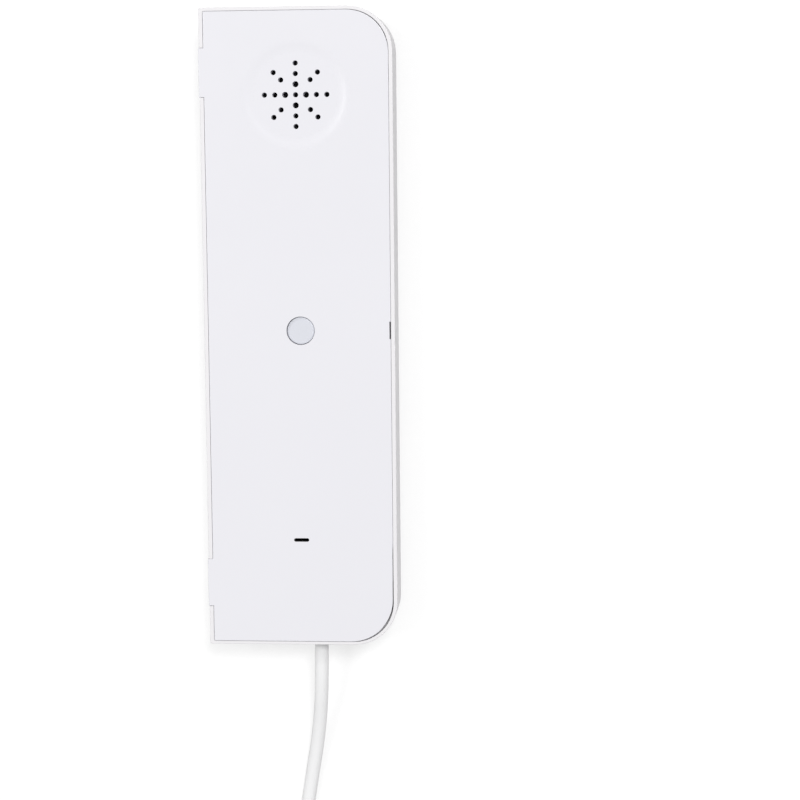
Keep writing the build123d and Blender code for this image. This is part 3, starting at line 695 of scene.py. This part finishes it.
magnet_finish = finish(
    "sintered_magnet",
    {"Colour": (0.18, 0.18, 0.19), "Roughness": 0.45, "Shadow": 0.4, "Cells": 4200.0},
    {"Metallic": 0.6},
    bump=0.00002,
    group=cells,
)


def soft_disc(name, node, hole, rings, uneven, material):
    """A disc or ring of cloth, foam or felt in a node's box: soft edges, uneven faces."""
    low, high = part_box(node)
    radius = (high.x - low.x) / 2
    thickness = high.z - low.z
    middle = (low + high) / 2
    bpy.ops.object.select_all(action="DESELECT")
    bpy.ops.mesh.primitive_circle_add(
        vertices=disc_sides, radius=radius, fill_type="NGON", location=(middle.x, middle.y, high.z)
    )
    disc = bpy.context.object
    disc.name = name
    bpy.ops.object.transform_apply(location=True, rotation=False, scale=False)
    bpy.ops.object.mode_set(mode="EDIT")
    bpy.ops.mesh.select_all(action="SELECT")
    for _ in range(rings):
        bpy.ops.mesh.inset(thickness=(radius - hole) / (rings + (0 if hole else 1)))
    if hole:
        bpy.ops.mesh.delete(type="FACE")
    bpy.ops.object.mode_set(mode="OBJECT")
    apply(disc, "SOLIDIFY", thickness=thickness, offset=-1.0)
    apply(disc, "BEVEL", width=thickness * soft_edge_share, segments=3, limit_method="ANGLE")
    lumps = bpy.data.textures.new(name, "CLOUDS")
    lumps.noise_scale = lump_size
    apply(disc, "DISPLACE", texture=lumps, strength=uneven, mid_level=1.0, texture_coords="LOCAL")
    bpy.ops.object.shade_smooth_by_angle(angle=soft_crease)
    disc.data.materials.append(material)
    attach(disc, "handset")
    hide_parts(node)
    return disc


dust_cloth = soft_disc(
    "dust_cloth", "earpiece_cloth", hole=0.0, rings=14, uneven=0.00006, material=cloth_finish
)
seal_ring = soft_disc(
    "seal_ring", "earpiece_gasket", hole=seal_hole, rings=5, uneven=0.00008, material=foam_finish
)
dress(film_finish, "earpiece_diaphragm")
dress(steel_finish, "earpiece_basket", "earpiece_pot", "earpiece_clamp")
dress(steel_finish, "clamp_screws", "board_screws")
dress(magnet_finish, "earpiece_magnet", "upper_holding_magnet", "lower_holding_magnet")


# Microphone. An electret capsule in a drawn aluminium can, in a black rubber
# boot that keeps the housing's sounds from it, behind a disc of black felt.
swell_size = Vector((0.0041, 0.00074, 0.0009))  # the felt's own push into the slot
swell_middle = Vector((0.0, slot_y, 0.01945))
swell_corner = 0.00036
swell_steps = 3  # round its top
swell_step_in = 0.00008
swell_step_up = 0.000015
can_finish = metal_finish(
    "capsule_can",
    {"Colour": (0.75, 0.76, 0.78), "Roughness": 0.2, "Dull": 0.15, "Grain": 1400.0,
     "Stretch": (1, 1, 0.1)},
    bump=0.000003,
)
boot_finish = finish(
    "boot_rubber",
    {"Colour": (0.03, 0.03, 0.03), "Roughness": 0.62, "Clouds": 0.2, "Rub": 0.2, "Grain": 1500.0},
    {"Specular IOR Level": 0.4},
    bump=0.00002,
)
felt_finish = finish(
    "slot_felt",
    {"Colour": (0.012, 0.012, 0.012), "Roughness": 0.95, "Shadow": 0.6, "Cells": 9000.0},
    {"Specular IOR Level": 0.1, "Sheen Weight": 0.05},
    bump=0.0001,
    group=cells,
)
dress(can_finish, "microphone_capsule")
dress(boot_finish, "microphone_boot")
slot_felt = soft_disc(
    "slot_felt", "microphone_felt", hole=0.0, rings=8, uneven=0.00008, material=felt_finish
)
bpy.ops.object.select_all(action="DESELECT")
bpy.ops.mesh.primitive_cube_add(size=1, location=swell_middle, scale=swell_size)
felt_swell = bpy.context.object
felt_swell.name = "felt_swell"
bpy.ops.object.transform_apply(location=True, rotation=False, scale=True)
take(felt_swell, "edges", lambda edge: abs(run(felt_swell, edge).z) > swell_size.z / 2)
bpy.ops.mesh.bevel(offset=swell_corner, segments=5)
bpy.ops.object.mode_set(mode="OBJECT")
take(felt_swell, "polygons", lambda face: face.normal.z > facing)
for _ in range(swell_steps):
    bpy.ops.mesh.inset(thickness=swell_step_in)
    bpy.ops.transform.translate(value=(0, 0, swell_step_up))
bpy.ops.object.mode_set(mode="OBJECT")
bpy.ops.object.shade_smooth_by_angle(angle=crease)
felt_swell.data.materials.append(felt_finish)
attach(felt_swell, "handset")
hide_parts("microphone_felt")


# Switch and board. A moulded black switch with a steel return spring stands on
# a green circuit board, beside three ivory nylon wire headers.
switch_finish = finish(
    "switch_nylon",
    {"Colour": (0.03, 0.03, 0.033), "Roughness": 0.5, "Clouds": 0.15, "Rub": 0.15, "Grain": 2400.0},
    {"Specular IOR Level": 0.45},
    bump=0.000012,
)
spring_finish = metal_finish(
    "spring_wire",
    {"Colour": (0.70, 0.70, 0.72), "Roughness": 0.18, "Dull": 0.2, "Grain": 3000.0,
     "Stretch": (1, 1, 0.2)},
    bump=0.000002,
)
board_finish = finish(
    "solder_mask",
    {"Colour": (0.03, 0.20, 0.09), "Roughness": 0.25, "Clouds": 0.35, "Rub": 0.2, "Grain": 600.0},
    {"Coat Weight": 0.4, "Coat Roughness": 0.15},
    bump=0.00001,
)
header_finish = finish(
    "header_nylon",
    {"Colour": (0.78, 0.74, 0.62), "Roughness": 0.45, "Clouds": 0.08, "Rub": 0.12, "Grain": 1800.0},
    {"Specular IOR Level": 0.45},
    bump=0.000008,
)
dress(switch_finish, "switch_housing")
dress(board_finish, "circuit_board")
dress(header_finish, "earpiece_header", "microphone_header", "cord_header")

spring_low, spring_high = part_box("button_spring")
spring_wire = 0.00034
spring_turns = 5
flat_turns = 0.75  # at each end
points_per_turn = 12
spring_outset = 1.035  # a spline passes this much inside the points of a small turn
spring_inset = 0.00002  # the wire stays this much inside the solid spring
spring_middle = (spring_low + spring_high) / 2
spring_radius = (spring_high.x - spring_low.x - spring_wire) / 2 - spring_inset
spring_rise = spring_high.z - spring_low.z - spring_wire
wire_share = spring_wire / spring_rise
spring_points = []
for step in range(spring_turns * points_per_turn + 1):
    turn = step / points_per_turn
    climb = min(max((turn - flat_turns) / (spring_turns - 2 * flat_turns), 0.0), 1.0)
    climb = climb * (1 - 2 * wire_share) + min(turn, 1.0) * wire_share
    climb += min(max(turn - spring_turns + 1, 0.0), 1.0) * wire_share
    spring_points.append((
        spring_middle.x + spring_radius * spring_outset * cos(2 * pi * turn),
        spring_middle.y + spring_radius * spring_outset * sin(2 * pi * turn),
        spring_low.z + spring_wire / 2 + climb * spring_rise,
    ))
return_spring = round_wire("return_spring", spring_points, spring_wire, facets=3)
bpy.ops.object.select_all(action="DESELECT")
return_spring.select_set(True)
bpy.context.view_layer.objects.active = return_spring
bpy.ops.object.convert(target="MESH")
return_spring = bpy.context.object
bpy.ops.object.shade_smooth_by_angle(angle=soft_crease)
return_spring.data.materials.clear()
return_spring.data.materials.append(spring_finish)
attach(return_spring, "handset")
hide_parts("button_spring")
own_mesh(return_spring)


# Wires. Stranded copper in thin PVC: four of the cord's own run from the bush
# to their header, two to the earpiece and two to the microphone.
lead_colours = {
    "white": (0.80, 0.80, 0.79),
    "red": (0.50, 0.03, 0.03),
    "yellow": (0.72, 0.52, 0.05),
    "green": (0.05, 0.30, 0.09),
}
lead_diameter = 0.0009
cord_wire_diameter = 0.0011
pin_z = 0.0089
upper_pin_y = 0.0151  # of the earpiece's header
lower_pin_y = -0.0181  # of the microphone's and the cord's headers
pin_run = 0.006  # a wire leaves its header straight for this much
bush_end = -0.08135
bush_run = 0.005  # and the bush for this much
wire_sag = 0.0046
leads = [
    # node, colour, diameter, points
    ("earpiece_leads", "red", lead_diameter, [
        (-0.0005, upper_pin_y, pin_z),
        (-0.0005, upper_pin_y + pin_run, pin_z),
        (-0.0020, 0.0485, 0.0134),
        (-0.0020, 0.0545, 0.0134),
    ]),
    ("earpiece_leads", "white", lead_diameter, [
        (0.0015, upper_pin_y, pin_z),
        (0.0015, upper_pin_y + pin_run, pin_z),
        (0.0020, 0.0485, 0.0134),
        (0.0020, 0.0545, 0.0134),
    ]),
    ("microphone_leads", "yellow", lead_diameter, [
        (-0.0053, lower_pin_y, pin_z),
        (-0.0053, lower_pin_y - pin_run, pin_z),
        (-0.00127, slot_y, 0.0100),
        (-0.00127, slot_y, 0.0123),
    ]),
    ("microphone_leads", "white", lead_diameter, [
        (-0.0033, lower_pin_y, pin_z),
        (-0.0033, lower_pin_y - pin_run, pin_z),
        (0.00127, slot_y, 0.0100),
        (0.00127, slot_y, 0.0123),
    ]),
]
cord_wires = [
    # colour, place in the cord, place at the header
    ("white", (0.00385, 0.0138), 0.0003),
    ("red", (0.00385, 0.0122), 0.0023),
    ("yellow", (0.00545, 0.0122), 0.0043),
    ("green", (0.00545, 0.0138), 0.0063),
]
for wire_colour, (wire_x, wire_z), pin_x in cord_wires:
    leads.append(("cord_conductors", wire_colour, cord_wire_diameter, [
        (wire_x, bush_end, wire_z),
        (wire_x, bush_end + bush_run, wire_z),
        ((wire_x + pin_x) / 2, (bush_end + lower_pin_y) / 2, (wire_z + pin_z) / 2 - wire_sag),
        (pin_x, lower_pin_y - pin_run, pin_z),
        (pin_x, lower_pin_y, pin_z),
    ]))
lead_finishes = {
    name: finish(
        "lead_" + name,
        {"Colour": colour, "Roughness": 0.4, "Clouds": 0.15, "Rub": 0.15, "Grain": 2000.0},
        {"Specular IOR Level": 0.5},
        bump=0.000008,
    )
    for name, colour in lead_colours.items()
}
for lead_node, lead_colour, diameter, lead_points in leads:
    lead = round_wire(lead_node + "_" + lead_colour, lead_points, diameter, facets=3)
    lead.data.materials.append(lead_finishes[lead_colour])
    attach(lead, "handset")
    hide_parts(lead_node)
